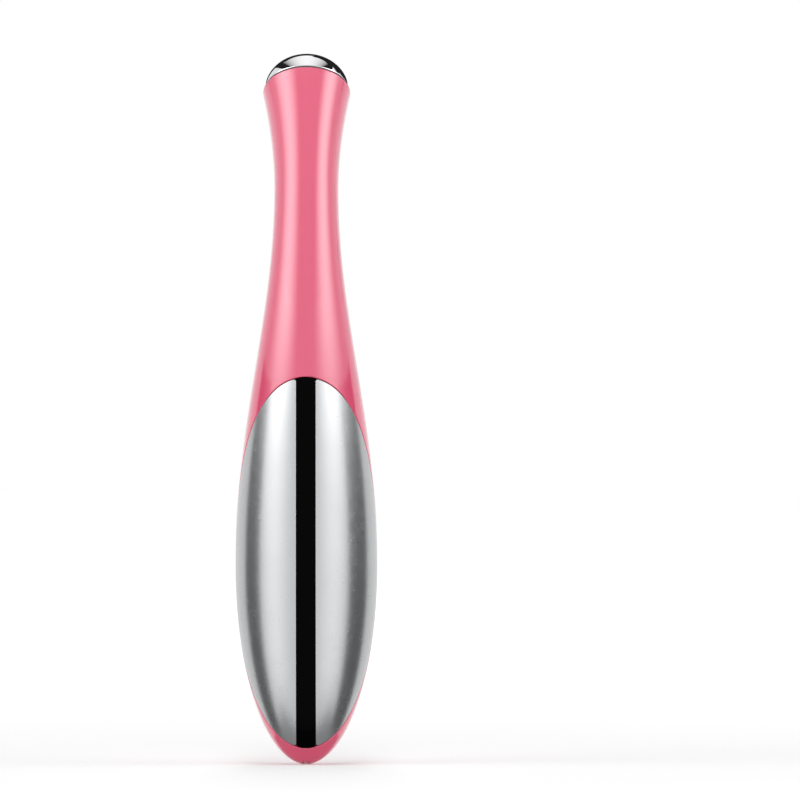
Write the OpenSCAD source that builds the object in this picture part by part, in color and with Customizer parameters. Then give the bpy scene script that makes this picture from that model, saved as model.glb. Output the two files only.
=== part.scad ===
// Heated eye massager wand, upright on its rounded foot: +Z up the handle, the chrome grip plates face -Y,
// the battery cover faces +Y and the heated dome at the top leans towards +Y. All sizes are millimetres.

/* [Handle] */
// Widest width of the handle
handle_width = 30; // [28.6:0.1:31]
// Reach of the handle in front of its axis, at its fullest
handle_front = 13.97; // [13.6:0.01:15]
// Reach of the handle behind its axis, at its fullest
handle_back = 13.8; // [13.5:0.01:15]
// Height at which the handle is widest
belly_height = 41.5; // [39:0.5:43]
// How far the foot's tip lies in front of the handle axis
foot_offset = 2.9; // [2.5:0.1:3.4]
// Wall thickness of the moulded shell
wall = 1.6; // [1.4:0.05:1.7]

/* [Neck] */
// Width of the neck at its slimmest
neck_width = 13.6; // [13.4:0.1:15]
// Height at which the neck is slimmest
neck_height = 121.5; // [119:0.5:123]
// How far the hollow of the nape lies behind the handle axis
nape_back = 5.3; // [5.1:0.1:6]
// Height of the hollow of the nape
nape_height = 105; // [103:0.5:107]

/* [Head] */
// Diameter of the housing's rim under the head
head_diameter = 18.6; // [18.3:0.1:19.4]
// Height of the rim's centre
head_height = 142; // [141:0.25:143]
// How far the rim's centre lies behind the handle axis
head_offset = 6.8; // [6.4:0.1:7.2]
// Lean of the head from upright, in degrees
head_lean = 35; // [32:0.5:36]
// Diameter of the polished dome
dome_diameter = 17.8; // [17.4:0.1:18.1]
// Height of the dome above its seal
dome_height = 7.2; // [6.8:0.1:7.8]
// Thickness of the grey seal between rim and dome
seal_thickness = 0.6; // [0.4:0.1:0.8]
// Diameter of the heater disc
heater_diameter = 11.2; // [10.4:0.1:11.2]

/* [Grip plates] */
// Thickness of the chromed grip plates
plate_thickness = 1.2; // [1:0.05:1.3]
// Width of the black strip between the plates
strip_width = 4; // [3:0.1:4.6]
// How far behind the handle axis the plates wrap round
plate_wrap = 0.85; // [0.4:0.05:1]
// Height at which the plates wrap furthest
plate_middle = 36; // [34:0.5:37]
// Radius of the plates' upper edge, seen from the side
plate_top_radius = 83; // [78:1:86]
// Joint between the plates and the shell
plate_joint = 0.12; // [0.08:0.01:0.2]

/* [Battery cover] */
// How far behind the handle axis the cover's seam runs at its furthest
cover_seam = 3.3; // [3.3:0.05:3.8]
// Height of the cover's shoulders
cover_top = 71; // [70:0.5:71.5]
// Rise of the finger tongue above the shoulders
tongue_rise = 6.5; // [5:0.5:7.5]
// Width of the finger tongue
tongue_width = 12; // [10:0.5:13]
// Gap all round the cover
cover_gap = 0.3; // [0.2:0.05:0.4]

/* [Battery] */
// Diameter of the dry cell
cell_diameter = 10.5; // [10.1:0.1:10.5]
// Length of the dry cell over its button
cell_length = 44.5; // [43.9:0.1:44.5]
// Height of the spring with the cell in place
spring_height = 4.5; // [4:0.1:4.8]
// Wire thickness of the spring
spring_wire = 0.6; // [0.5:0.05:0.7]
// Wall thickness of the battery tray
tray_wall = 1.4; // [1.2:0.1:1.5]

/* [Motor] */
// Diameter of the motor can
motor_diameter = 6; // [5.4:0.1:6]
// Length of the motor can
motor_length = 11; // [9:0.5:11]
// Thickness of the rubber boot round the motor
boot_thickness = 1.15; // [0.9:0.05:1.15]
// Diameter of the motor shaft
shaft_diameter = 1; // [0.8:0.05:1.2]
// Radius of the off-centre weight
weight_radius = 2.5; // [2:0.1:2.6]
// Length of the off-centre weight
weight_length = 4; // [3:0.1:4.5]

/* [Circuit board] */
// Width of the circuit board
board_width = 12; // [11.4:0.1:12.4]
// Thickness of the circuit board
board_thickness = 1; // [0.8:0.1:1.2]
// Gap between the circuit board and the tray
board_gap = 2; // [1.8:0.1:2.2]

/* [Hidden] */
$fn = 48;

// the skin is a chain of elliptical sections; SIDES points round each, in three runs up the body
SIDES = 32;
FOOT_STEPS = 9;
GRIP_STEPS = 9;
NECK_STEPS = 10;
foot_sink = 0.08;
front_height = belly_height + 4.5;
fan_height = nape_height - 5;
breadth = 2 * handle_width;
core_top = plate_middle + 0.8 * plate_top_radius;
rim_r = head_diameter / 2;
rim_front = [head_offset - rim_r * cos(head_lean), head_height + rim_r * sin(head_lean)];
rim_back = [head_offset + rim_r * cos(head_lean), head_height - rim_r * sin(head_lean)];
dome_r = dome_diameter / 2;
dome_back = head_offset + seal_thickness * sin(head_lean)
    + sqrt(pow(dome_r * cos(head_lean), 2) + pow(dome_height * sin(head_lean), 2));
axis_shift = (handle_front - dome_back) / 2;

// side view curves of the grip plates and of the cover's seam
plate_foot_length = plate_middle - 0.7;
plate_foot_depth = 9.4;
seam_middle = 32;
seam_top_radius = 264;
seam_foot_depth = 8;
shoulder_low = cover_top - 11;
shoulder_high = cover_top + tongue_rise + 12.5;
lip_low = seam_middle - 12;
lip_high = cover_top - 9;

// what stands inside, from the foot up, on the handle axis plane
cell_y = 3.2;
sleeve = 0.15;
tray_half = cell_diameter / 2 + 0.15 + tray_wall;
tray_front = cell_y - cell_diameter / 2 - 0.1 - tray_wall;
tray_foot = 16.2;
plate_metal = 0.4;
spring_wide = 3.7;
plate_reach = cell_y + spring_wide + 0.3;
spring_foot = tray_foot + tray_wall + plate_metal;
cell_foot = spring_foot + spring_height;
cell_top = cell_foot + cell_length;
tray_top = cell_top + plate_metal + tray_wall;
board_back = tray_front - board_gap;
board_front = board_back - board_thickness;
board_foot = spring_foot;
board_top = cell_top;
under_plate = plate_thickness + plate_joint;
screw_low = tray_foot - 4.6;
screw_high = tray_top + 3.6;
post_height = [board_foot + 9, board_top - 8];
contact_x = 4.2;
contact_z = board_top - 10;

// the head's inside, along its own axis from the rim plane
recess_r = heater_diameter / 2 + 0.2;
recess_top = 4.4;
heater_t = 0.8;
clamp_low = 1.2;
skirt_r = rim_r - wall - 0.15;
skirt_depth = 3.6;

// the motor's seat, along the motor axis
motor_z = head_height - 13.75;
motor_y = middle(motor_z);
motor_lean = atan((middle(motor_z + 6) - middle(motor_z - 6)) / 12);
boot_floor = 0.6;
seat_low = -3.5;
can_low = seat_low + boot_floor;
can_high = can_low + motor_length;
boot_r = motor_diameter / 2 + boot_thickness;
seat_ledge = 1.2;
weight_high = seat_low - seat_ledge - 0.5;
weight_low = weight_high - weight_length;
lead_v = boot_r + 0.75;

// the leads' way from under the motor down the neck, half way, and to the room over the tray
lead_high = motor_z - 16.25;
lead_low = screw_high + 11.6;
lead_half = (lead_high + lead_low) / 2;

function ease(t) = (1 - cos(180 * pow(t, 1.06))) / 2;
function foot(z, e, full, power) =
    let (k = (full - z) / (full - e + foot_sink)) pow(max(0, 1 - k * k), power);

// half width, front and back of the section at height z, inset by e
function half_width(z, e) =
    z < belly_height ? (handle_width / 2 - e) * foot(z, e, belly_height, 0.5)
    : z < neck_height ? handle_width / 2 - e
        - (handle_width - neck_width) / 2 * ease((z - belly_height) / (neck_height - belly_height))
    : neck_width / 2 - e
        + (head_diameter - neck_width) / 2 * pow((z - neck_height) / (head_height - neck_height), 1.9);
function front_y(z, e) =
    z < front_height ? -foot_offset - (handle_front - foot_offset - e) * foot(z, e, front_height, 0.5)
    : e - handle_front
        + (handle_front + rim_front[0]) * pow((z - front_height) / (rim_front[1] - front_height), 2.35);
function back_y(z, e) =
    z < belly_height ? -foot_offset + (handle_back + foot_offset - e) * foot(z, e, belly_height, 0.57)
    : z < nape_height ? handle_back - e
        - (handle_back - nape_back) * ease((z - belly_height) / (nape_height - belly_height))
    : nape_back - e
        + (rim_back[0] - nape_back) * pow((z - nape_height) / (rim_back[1] - nape_height), 2);

// above fan_height the sections fan out from level to the lean of the head
function fan(s, end) = fan_height + (s - fan_height) / (head_height - fan_height) * (end - fan_height);
function chord(s, e) =
    s <= fan_height ? [[front_y(s, e), s], [back_y(s, e), s]]
    : let (f = [front_y(fan(s, rim_front[1]), 0), fan(s, rim_front[1])],
           b = [back_y(fan(s, rim_back[1]), 0), fan(s, rim_back[1])],
           u = (b - f) / norm(b - f))
      [f + e * u, b - e * u];
function middle(s) = let (c = chord(s, 0)) (c[0][0] + c[1][0]) / 2;
function ring(s, e) =
    let (c = chord(s, e), mid = (c[0] + c[1]) / 2, half = (c[1] - c[0]) / 2, w = half_width(s, e))
    [for (i = [0 : SIDES - 1]) let (a = 360 * (i + 0.5) / SIDES)
        [w * sin(a), mid[0] - half[0] * cos(a), mid[1] - half[1] * cos(a)]];
function levels(e, past) = concat(
    [for (i = [0 : FOOT_STEPS - 1]) belly_height - (belly_height - e) * cos(90 * i / FOOT_STEPS)],
    [for (i = [0 : GRIP_STEPS - 1]) belly_height + (fan_height - belly_height) * i / GRIP_STEPS],
    [for (i = [0 : NECK_STEPS]) fan_height + (head_height + past - fan_height) * i / NECK_STEPS]);

// the whole body's skin inset by e, between two heights, drawn past the rim by past
module skin(e, low = -1, high = 200, past = 0) {
    zs = [for (z = levels(e, past)) if (z >= low && z <= high) z];
    m = len(zs);
    n = SIDES;
    polyhedron(points = [for (z = zs) each ring(z, e)], faces = concat(
        [[for (i = [0 : n - 1]) i]], [[for (i = [0 : n - 1]) m * n - 1 - i]],
        [for (j = [0 : m - 2], i = [0 : n - 1]) [j * n + i, (j + 1) * n + i, j * n + (i + 1) % n]],
        [for (j = [0 : m - 2], i = [0 : n - 1])
            [j * n + (i + 1) % n, (j + 1) * n + i, (j + 1) * n + (i + 1) % n]]));
}

function plate_y(z) =
    z < plate_middle
    ? plate_wrap - plate_foot_depth * pow((plate_middle - z) / plate_middle, 1.5)
    : plate_wrap - (plate_top_radius - sqrt(pow(plate_top_radius, 2) - pow(z - plate_middle, 2)));
function seam_y(z) =
    z < seam_middle ? cover_seam - seam_foot_depth * (1 - sqrt(1 - pow((seam_middle - z) / 32.5, 2)))
    : cover_seam - (seam_top_radius - sqrt(pow(seam_top_radius, 2) - pow(z - seam_middle, 2)));

// a side view outline (y, z) carried across the whole width
module across(width = breadth) rotate([90, 0, 90]) linear_extrude(width, center = true) children();

// everything in front of the plates' edge, grown by g
module plate_region(g) {
    low = plate_middle - plate_foot_length;
    steps = 26;
    across() offset(delta = g)
        polygon(concat([[-breadth, plate_middle + 0.69 * plate_top_radius], [-breadth, low]],
            [for (i = [0 : steps]) let (z = plate_middle - plate_foot_length * cos(90 * i / steps))
                [plate_y(z), z]],
            [for (i = [1 : 14]) let (z = plate_middle + 0.69 * plate_top_radius * i / 14)
                [plate_y(z), z]]));
}

// everything behind the cover's seam and under its shoulders and tongue, shrunk by g
module cover_region(g) {
    intersection() {
        across() offset(delta = -g)
            polygon(concat([[breadth, 1.27 * cover_top], [breadth, -6], [seam_y(0), -6]],
                [for (i = [0 : 12]) let (z = seam_middle - seam_middle * cos(90 * i / 12)) [seam_y(z), z]],
                [for (i = [1 : 8]) let (z = seam_middle + (1.27 * cover_top - seam_middle) * i / 8)
                    [seam_y(z), z]]));
        rotate([90, 0, 0]) linear_extrude(2 * breadth, center = true) offset(delta = -g)
            offset(r = -1.8) offset(r = 1.8) union() {
                translate([-breadth / 2, -8]) square([breadth, cover_top + 8]);
                tongue_outline();
            }
    }
}

module tongue_outline() {
    r = tongue_width / 2 - 1.2;
    translate([-tongue_width / 2, cover_top / 2])
        square([tongue_width, cover_top / 2 + tongue_rise - r]);
    translate([0, cover_top + tongue_rise - r]) scale([tongue_width / 2 / r, 1]) circle(r, $fn = 40);
}

module place() translate([0, axis_shift, 0]) children();
module head_frame() translate([0, head_offset, head_height]) rotate([-head_lean, 0, 0]) children();
module motor_frame() translate([0, motor_y, motor_z]) rotate([-motor_lean, 0, 0]) children();
// a cylinder from y = back towards the front
module forward(back, length, r) rotate([90, 0, 0]) translate([0, 0, -back]) cylinder(h = length, r = r);

module main_housing() color([0.93, 0.44, 0.55]) place() difference() {
    union() {
        difference() {
            union() {
                difference() {
                    skin(0);
                    plate_region(plate_joint);
                }
                skin(under_plate, 0, core_top);
            }
            difference() {
                union() {
                    difference() {
                        skin(wall, past = 1);
                        plate_region(wall);
                    }
                    skin(under_plate + wall, 0, core_top);
                }
                motor_seat();
            }
            cover_region(-cover_gap / 2);
        }
        top_ledge();
        screw_bosses();
    }
    screw_bores();
    for (side = [-1, 1]) translate([side * contact_x, 0, contact_z]) forward(-5, 12, 1.2);
    head_frame() translate([0, 0, -skirt_depth - 0.2]) cylinder(h = 6, r = skirt_r + 0.1);
}

// a ledge under the cover's top edge, inside the wall
module top_ledge() difference() {
    intersection() {
        skin(wall - 0.05, shoulder_low, shoulder_high);
        shoulder_box();
        difference() {
            shoulder_box();
            translate([0, 0, -1.2]) cover_region(0);
        }
    }
    skin(wall + 0.9, shoulder_low, shoulder_high);
    difference() {
        cover_region(-cover_gap / 2);
        skin(wall + 0.15, shoulder_low, shoulder_high);
    }
}
module shoulder_box() translate([-breadth / 2, -2, cover_top - 1.2]) cube([breadth, breadth, tongue_rise + 4]);

module screw_bosses() intersection() {
    for (z = [screw_low, screw_high]) translate([0, 0, z]) forward(tray_front, 14, 2.3);
    skin(under_plate + wall - 0.2, 4, shoulder_high);
}
module screw_bores()
    for (z = [screw_low, screw_high]) translate([0, 0, z]) forward(tray_front + 1, 5.9, 0.8);

// the collar that carries the motor's boot, notched front and back for the leads
module motor_seat() motor_frame() difference() {
    translate([0, 0, seat_low - seat_ledge]) cylinder(h = 6.2, r = 12);
    translate([0, 0, seat_low]) cylinder(h = 10, r = boot_r + 0.05);
    translate([0, 0, seat_low - 3]) cylinder(h = 10, r = weight_radius + 0.3);
    for (side = [-1, 1])
        translate([-2, side > 0 ? boot_r - 1 : -12, seat_low - 3]) cube([4, 13 - boot_r, 12]);
}

module battery_cover() color([0.93, 0.44, 0.55]) place() {
    intersection() {
        difference() {
            skin(0, -1, core_top);
            skin(wall, 0, core_top);
        }
        cover_region(cover_gap / 2);
    }
    lip(-0.05, cover_gap / 2 + 0.1);
    lip(0.12, -0.7);
}
// a lip inside the shell's wall, out to the cover's outline shrunk by g
module lip(clear, g) intersection() {
    difference() {
        skin(wall + clear, lip_low - 12, lip_high + 12);
        skin(wall + 0.9, lip_low - 12, lip_high + 12);
    }
    difference() {
        intersection() {
            cover_region(g);
            lip_box();
        }
        cover_region(1.2);
    }
}
// the lips run up both side edges, inside the shell's wall
module lip_box() translate([-breadth / 2, -2, lip_low]) cube([breadth, breadth, lip_high - lip_low]);

module plate_shell() difference() {
    intersection() {
        skin(0, -1, core_top);
        plate_region(0);
    }
    skin(plate_thickness, 0, core_top);
}
module grip_plate(side) color([0.86, 0.87, 0.88]) place() intersection() {
    plate_shell();
    translate([side > 0 ? strip_width / 2 + 0.06 : -breadth, -breadth, -1])
        cube([breadth - strip_width / 2 - 0.06, 2 * breadth, core_top]);
}
module left_grip_plate() grip_plate(-1);
module right_grip_plate() grip_plate(1);
module insulating_strip() color([0.03, 0.03, 0.03]) place() intersection() {
    plate_shell();
    translate([-strip_width / 2, -breadth, -1]) cube([strip_width, 2 * breadth, core_top]);
}

module massage_head() color([0.9, 0.9, 0.91]) place() head_frame() rotate_extrude($fn = 64)
    polygon(concat([[0, recess_top], [recess_r, recess_top], [recess_r, -skirt_depth],
        [skirt_r, -skirt_depth], [skirt_r, seal_thickness]],
        [for (i = [0 : 13]) let (a = 90 * i / 14) [dome_r * cos(a), seal_thickness + dome_height * sin(a)]],
        [[0, seal_thickness + dome_height]]));
module head_seal_ring() color([0.72, 0.72, 0.74]) place() head_frame() difference() {
    cylinder(h = seal_thickness, r = dome_r + 0.2, $fn = 64);
    translate([0, 0, -1]) cylinder(h = 3, r = skirt_r, $fn = 64);
}
module heater_disc() color([0.85, 0.5, 0.2]) place() head_frame()
    translate([0, 0, recess_top - heater_t]) cylinder(h = heater_t, d = heater_diameter);
module thermistor() color([0.1, 0.25, 0.3]) place() head_frame()
    translate([0, 0, recess_top - heater_t - 1.4]) cylinder(h = 1.4, r = 0.8, $fn = 24);
module heater_clamp() color([0.9, 0.9, 0.85]) place() head_frame() difference() {
    translate([0, 0, clamp_low]) cylinder(h = recess_top - heater_t - clamp_low, r = recess_r);
    translate([0, 0, recess_top - heater_t - 1.5]) cylinder(h = 2, r = 0.9, $fn = 24);
    translate([0, 0, clamp_low - 1]) cylinder(h = 1.4, r = 2);
}

module motor_can() color([0.75, 0.76, 0.78]) place() motor_frame() difference() {
    translate([0, 0, can_low]) cylinder(h = motor_length - 1, d = motor_diameter);
    translate([0, 0, can_low - 1]) cylinder(h = motor_length - 1.5, r = shaft_diameter / 2 + 0.04);
}
module motor_end_cap() color([0.95, 0.95, 0.9]) place() motor_frame() {
    translate([0, 0, can_high - 1]) cylinder(h = 1, d = motor_diameter);
    for (side = [-1, 1])
        translate([side * 1.2 - 0.4, -1.9, can_high - 0.2]) cube([0.8, 0.8, 0.9]);
}
module motor_shaft() color([0.8, 0.8, 0.82]) place() motor_frame()
    translate([0, 0, weight_low - 0.3])
        cylinder(h = can_low + motor_length - 3 - weight_low, d = shaft_diameter);
module eccentric_weight() color([0.55, 0.5, 0.42]) place() motor_frame() difference() {
    union() {
        intersection() {
            translate([0, 0, weight_low]) cylinder(h = weight_length, r = weight_radius);
            translate([-5, 0, weight_low - 1]) cube([10, 10, weight_length + 2]);
        }
        translate([0, 0, weight_low]) cylinder(h = weight_length, r = shaft_diameter / 2 + 0.6);
    }
    translate([0, 0, weight_low - 1]) cylinder(h = weight_length + 2, d = shaft_diameter);
}
module motor_boot() color([0.2, 0.2, 0.2]) place() motor_frame() difference() {
    translate([0, 0, seat_low]) cylinder(h = motor_length - 1, r = boot_r);
    translate([0, 0, can_low]) cylinder(h = motor_length, d = motor_diameter);
    translate([0, 0, seat_low - 1]) cylinder(h = 3, r = 1.5);
}

module battery_tray() color([0.92, 0.92, 0.9]) place() difference() {
    union() {
        translate([-tray_half, tray_front, tray_foot])
            cube([2 * tray_half, tray_wall, tray_top - tray_foot]);
        for (side = [-1, 1]) translate([side > 0 ? tray_half - tray_wall : -tray_half, tray_front, tray_foot])
            cube([tray_wall, cell_y - tray_front + 0.8, tray_top - tray_foot]);
        translate([-tray_half, tray_front, tray_foot]) cube([2 * tray_half, 5.6, tray_wall]);
        translate([-4, tray_front, tray_foot]) cube([8, plate_reach - tray_front, tray_wall]);
        translate([-tray_half, tray_front, tray_top - tray_wall]) cube([2 * tray_half, 9, tray_wall]);
        translate([-3.2, tray_front, screw_low - 2.8]) cube([6.4, tray_wall, tray_foot - screw_low + 3.2]);
        translate([-3.2, tray_front, tray_top - 0.4]) cube([6.4, tray_wall, screw_high - tray_top + 3.2]);
        for (side = [-1, 1], z = post_height) translate([side * 4.4, 0, z]) {
            forward(tray_front, board_gap, 1.1);
            forward(tray_front, board_gap + board_thickness + 0.3, 0.5);
        }
    }
    for (z = [screw_low, screw_high]) translate([0, 0, z]) forward(tray_front + 5, 10, 1.1);
    translate([-1.7, tray_front - 1, spring_foot - plate_metal - 0.1])
        cube([3.4, tray_wall + 2, plate_metal + 0.2]);
    translate([-1.7, tray_front - 1, cell_top - 0.1]) cube([3.4, tray_wall + 2, plate_metal + 0.2]);
}
module tray_screws() color([0.6, 0.6, 0.62]) place() for (z = [screw_low, screw_high])
    translate([0, 0, z]) difference() {
        union() {
            forward(tray_front + tray_wall + 1.3, 1.3, 1.8);
            forward(tray_front + tray_wall, tray_wall + 4.4, 0.8);
        }
        translate([-1.4, tray_front + tray_wall + 0.7, -0.25]) cube([2.8, 1, 0.5]);
        translate([-0.25, tray_front + tray_wall + 0.7, -1.4]) cube([0.5, 1, 2.8]);
    }

module cell_can() color([0.8, 0.8, 0.82]) place() translate([0, cell_y, cell_foot]) {
    cylinder(h = cell_length - 1, d = cell_diameter - 2 * sleeve);
    translate([0, 0, cell_length - 1.5]) cylinder(h = 1.5, d = 3.8);
}
module cell_sleeve() color([0.15, 0.15, 0.16]) place() translate([0, cell_y, cell_foot + 0.5]) difference() {
    cylinder(h = cell_length - 1.7, d = cell_diameter);
    translate([0, 0, -1]) cylinder(h = cell_length + 2, d = cell_diameter - 2 * sleeve);
}

// rings of a tube of radius r along a path; ref is a direction the path never takes
function along(path, i) =
    let (d = path[min(i + 1, len(path) - 1)] - path[max(i - 1, 0)]) d / norm(d);
module tube(path, r, sides = 8, ref = [1, 0, 0]) {
    n = len(path);
    points = [for (i = [0 : n - 1]) let (t = along(path, i), u0 = cross(t, ref),
            u = u0 / norm(u0), v = cross(t, u))
        for (k = [0 : sides - 1]) path[i] + r * (cos(360 * k / sides) * u + sin(360 * k / sides) * v)];
    faces = concat([[for (k = [0 : sides - 1]) k]],
        [[for (k = [0 : sides - 1]) n * sides - 1 - k]],
        [for (i = [0 : n - 2], k = [0 : sides - 1])
            [i * sides + k, (i + 1) * sides + (k + 1) % sides, i * sides + (k + 1) % sides]],
        [for (i = [0 : n - 2], k = [0 : sides - 1])
            [i * sides + k, (i + 1) * sides + k, (i + 1) * sides + (k + 1) % sides]]);
    polyhedron(points = points, faces = faces);
}
// a smooth path through the given points
function blend(a, b, c, d, t) = 0.5 * (2 * b + (c - a) * t + (2 * a - 5 * b + 4 * c - d) * t * t
    + (3 * b - a - 3 * c + d) * t * t * t);
function smooth_path(p, steps) = concat([for (i = [0 : len(p) - 2], k = [0 : steps - 1])
    blend(p[max(i - 1, 0)], p[i], p[i + 1], p[min(i + 2, len(p) - 1)], k / steps)], [p[len(p) - 1]]);
function motor_point(x, v, s) =
    [x, motor_y + s * sin(motor_lean) + v * cos(motor_lean),
        motor_z + s * cos(motor_lean) - v * sin(motor_lean)];
function head_point(v, s) = [0, head_offset + s * sin(head_lean) + v * cos(head_lean),
    head_height + s * cos(head_lean) - v * sin(head_lean)];
// a point inside the neck: k runs from 0 at the front wall to 1 at the back wall
function neck_point(x, s, k) = let (c = chord(s, wall), p = c[0] + k * (c[1] - c[0])) [x, p[0], p[1]];

// the cell's spring, a cone of round wire
spring_turns = 3.5;
spring_narrow = 2.2;
spring_path = [for (i = [0 : 28]) let (t = i / 28, a = 360 * spring_turns * t,
        r = spring_wide + (spring_narrow - spring_wide) * t)
    [r * cos(a), r * sin(a), spring_wire / 2 + (spring_height - spring_wire) * t]];
spring_gap = min([for (i = [0 : 20]) min([for (j = [i + 6 : 28]) norm(spring_path[i] - spring_path[j])])])
    - spring_wire;
echo(least_gap_between_curls = spring_gap);
echo(axis_shift = axis_shift, motor_y = motor_y, motor_z = motor_z, motor_lean = motor_lean);
module battery_spring() color([0.8, 0.8, 0.82]) place() translate([0, cell_y, spring_foot])
    tube(spring_path, spring_wire / 2, 6, [0, 0, 1]);

// a flat contact with a leg through the tray to the circuit board
module contact_plate(low, half) translate([0, 0, low]) {
    translate([-half, tray_front + tray_wall, 0])
        cube([2 * half, plate_reach - tray_front - tray_wall, plate_metal]);
    translate([-1.5, board_front - 0.4, 0]) cube([3, cell_y - board_front, plate_metal]);
}
module negative_plate() color([0.78, 0.78, 0.76]) place() contact_plate(tray_foot + tray_wall, 3.9);
module positive_contact() color([0.78, 0.78, 0.76]) place() contact_plate(cell_top, 3.4);

module circuit_board() color([0.1, 0.45, 0.25]) place() difference() {
    translate([-board_width / 2, board_front, board_foot])
        cube([board_width, board_thickness, board_top - board_foot]);
    for (side = [-1, 1], z = post_height) translate([side * 4.4, 0, z]) forward(board_back + 1, 4, 0.55);
}
// a component standing off the front of the board
module component(x, z, size) translate([x - size[0] / 2, board_front - size[2], z - size[1] / 2])
    cube([size[0], size[2], size[1]]);
module touch_controller() color([0.1, 0.1, 0.1]) place() {
    component(0, board_foot + 30, [3.9, 4.9, 1.4]);
    for (side = [-1, 1], k = [0 : 3])
        component(side * 2.4, board_foot + 28.1 + k * 1.27, [1.2, 0.4, 0.5]);
}
module boost_inductor() color([0.15, 0.15, 0.17]) place() translate([0, 0, board_foot + 20]) {
    forward(board_front, 0.5, 2.4);
    forward(board_front - 0.5, 1.6, 1.7);
    forward(board_front - 2.1, 0.5, 2.4);
}
module storage_capacitor() color([0.85, 0.65, 0.2]) place() component(-3, board_foot + 13, [2.8, 3.5, 1.9]);
module driver_transistor() color([0.1, 0.1, 0.1]) place() {
    component(3, board_foot + 13, [1.3, 2.9, 1]);
    component(4, board_foot + 13, [0.8, 0.4, 0.3]);
    for (k = [-1, 1]) component(2, board_foot + 13 + k * 0.95, [0.8, 0.4, 0.3]);
}

// the plates' inner face at (x, z) and the sprung pins that reach it
function plate_inside(x, z) = let (f = front_y(z, plate_thickness), b = back_y(z, plate_thickness))
    (f + b) / 2 - (b - f) / 2 * sqrt(1 - pow(x / half_width(z, plate_thickness), 2));
module plate_contact(side) color([0.85, 0.7, 0.3]) place() translate([side * contact_x, 0, contact_z]) {
    forward(board_front, 2.6, 0.9);
    forward(board_front - 2.6, board_front - 2.6 - plate_inside(contact_x, contact_z) - 0.22, 0.5);
}
module left_plate_contact() plate_contact(-1);
module right_plate_contact() plate_contact(1);

lead_end = board_top - 4;
module motor_lead(side) place() tube(smooth_path([
    motor_point(side * 1.2, -1.5, can_high + 0.7), motor_point(side * 1.2, -2.2, can_high + 1.7),
    motor_point(side * 1.2, -3.9, can_high + 1.2), motor_point(side * 1.2, -lead_v, can_high - 1),
    motor_point(side * 1.2, -lead_v, 0), motor_point(side * 1.2, -lead_v, -6),
    neck_point(side * 1.1, lead_high, 0.25), neck_point(side * 1.5, lead_half, 0.3),
    neck_point(side * 2.6, lead_low, 0.22), [side * 3.7, board_front - 2.2, screw_high],
    [side * 3.6, board_front - 1.4, board_top - 1], [side * 3.4, board_front - 0.45, lead_end - 2]], 4), 0.45);
module motor_lead_red() color([0.8, 0.1, 0.1]) motor_lead(1);
module motor_lead_black() color([0.05, 0.05, 0.05]) motor_lead(-1);
module head_cable() color([0.95, 0.95, 0.95]) place() tube(smooth_path([
    head_point(0, clamp_low + 0.4), head_point(0, -1.5), head_point(1.2, -3.8),
    motor_point(0, lead_v + 0.05, can_high - 1), motor_point(0, lead_v + 0.05, 0),
    motor_point(0, lead_v - 0.15, -6), neck_point(0, lead_high, 0.7), neck_point(1, lead_half, 0.6),
    neck_point(4, lead_low + 1, 0.45), [6.2, board_back - 0.5, screw_high + 2],
    [6.3, board_front - 1, board_top + 0.5], [5.4, board_front - 1.3, board_top - 3],
    [4.9, board_front - 0.64, board_top - 6.4]], 4), 0.6);

main_housing();
battery_cover();
left_grip_plate();
right_grip_plate();
insulating_strip();
massage_head();
head_seal_ring();
heater_disc();
thermistor();
heater_clamp();
motor_can();
motor_end_cap();
motor_shaft();
eccentric_weight();
motor_boot();
battery_tray();
tray_screws();
cell_can();
cell_sleeve();
battery_spring();
negative_plate();
positive_contact();
circuit_board();
touch_controller();
boost_inductor();
storage_capacitor();
driver_transistor();
left_plate_contact();
right_plate_contact();
motor_lead_red();
motor_lead_black();
head_cable();
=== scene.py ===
"""Heated eye massager wand: smooth skins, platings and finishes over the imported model.

All sizes are in millimetres and become metres when a mesh is made. The wand stands on its
foot, its touch plates look towards -Y and its head leans back towards +Y.
"""

import logging
from dataclasses import dataclass, field
from enum import Enum

import bpy
import numpy as np
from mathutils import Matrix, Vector
from mathutils.bvhtree import BVHTree


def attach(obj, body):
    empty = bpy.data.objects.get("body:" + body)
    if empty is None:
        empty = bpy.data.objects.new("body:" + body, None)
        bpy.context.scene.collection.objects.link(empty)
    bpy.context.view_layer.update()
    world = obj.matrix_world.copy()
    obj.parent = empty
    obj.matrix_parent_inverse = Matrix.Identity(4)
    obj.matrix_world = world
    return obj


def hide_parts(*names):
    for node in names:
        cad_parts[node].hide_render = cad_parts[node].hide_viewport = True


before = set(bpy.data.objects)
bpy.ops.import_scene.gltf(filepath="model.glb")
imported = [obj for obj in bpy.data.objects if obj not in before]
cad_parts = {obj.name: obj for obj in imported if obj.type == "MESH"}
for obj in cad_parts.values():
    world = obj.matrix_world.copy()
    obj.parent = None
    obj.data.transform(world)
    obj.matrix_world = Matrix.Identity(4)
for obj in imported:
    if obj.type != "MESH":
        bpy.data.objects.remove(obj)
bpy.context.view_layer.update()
MM = 0.001
log = logging.getLogger("wand")


# ---------------------------------------------------------------- small helpers


def unit(vectors: np.ndarray) -> np.ndarray:
    """Vectors of any array shape, scaled to length one along the last axis."""
    size = np.linalg.norm(vectors, axis=-1, keepdims=True)
    return vectors / np.maximum(size, 1e-12)


def eased(count: int, start: bool = True, end: bool = True) -> np.ndarray:
    """Steps from 0 to 1 that crowd together where a curve turns.

    Args:
        count: Number of values.
        start: Crowd them at 0.
        end: Crowd them at 1.

    Returns:
        The values in rising order.
    """
    u = np.linspace(0.0, 1.0, count)
    if start and end:
        return (1 - np.cos(np.pi * u)) / 2
    if start:
        return 1 - np.cos(np.pi * u / 2)
    return np.sin(np.pi * u / 2) if end else u


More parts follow.
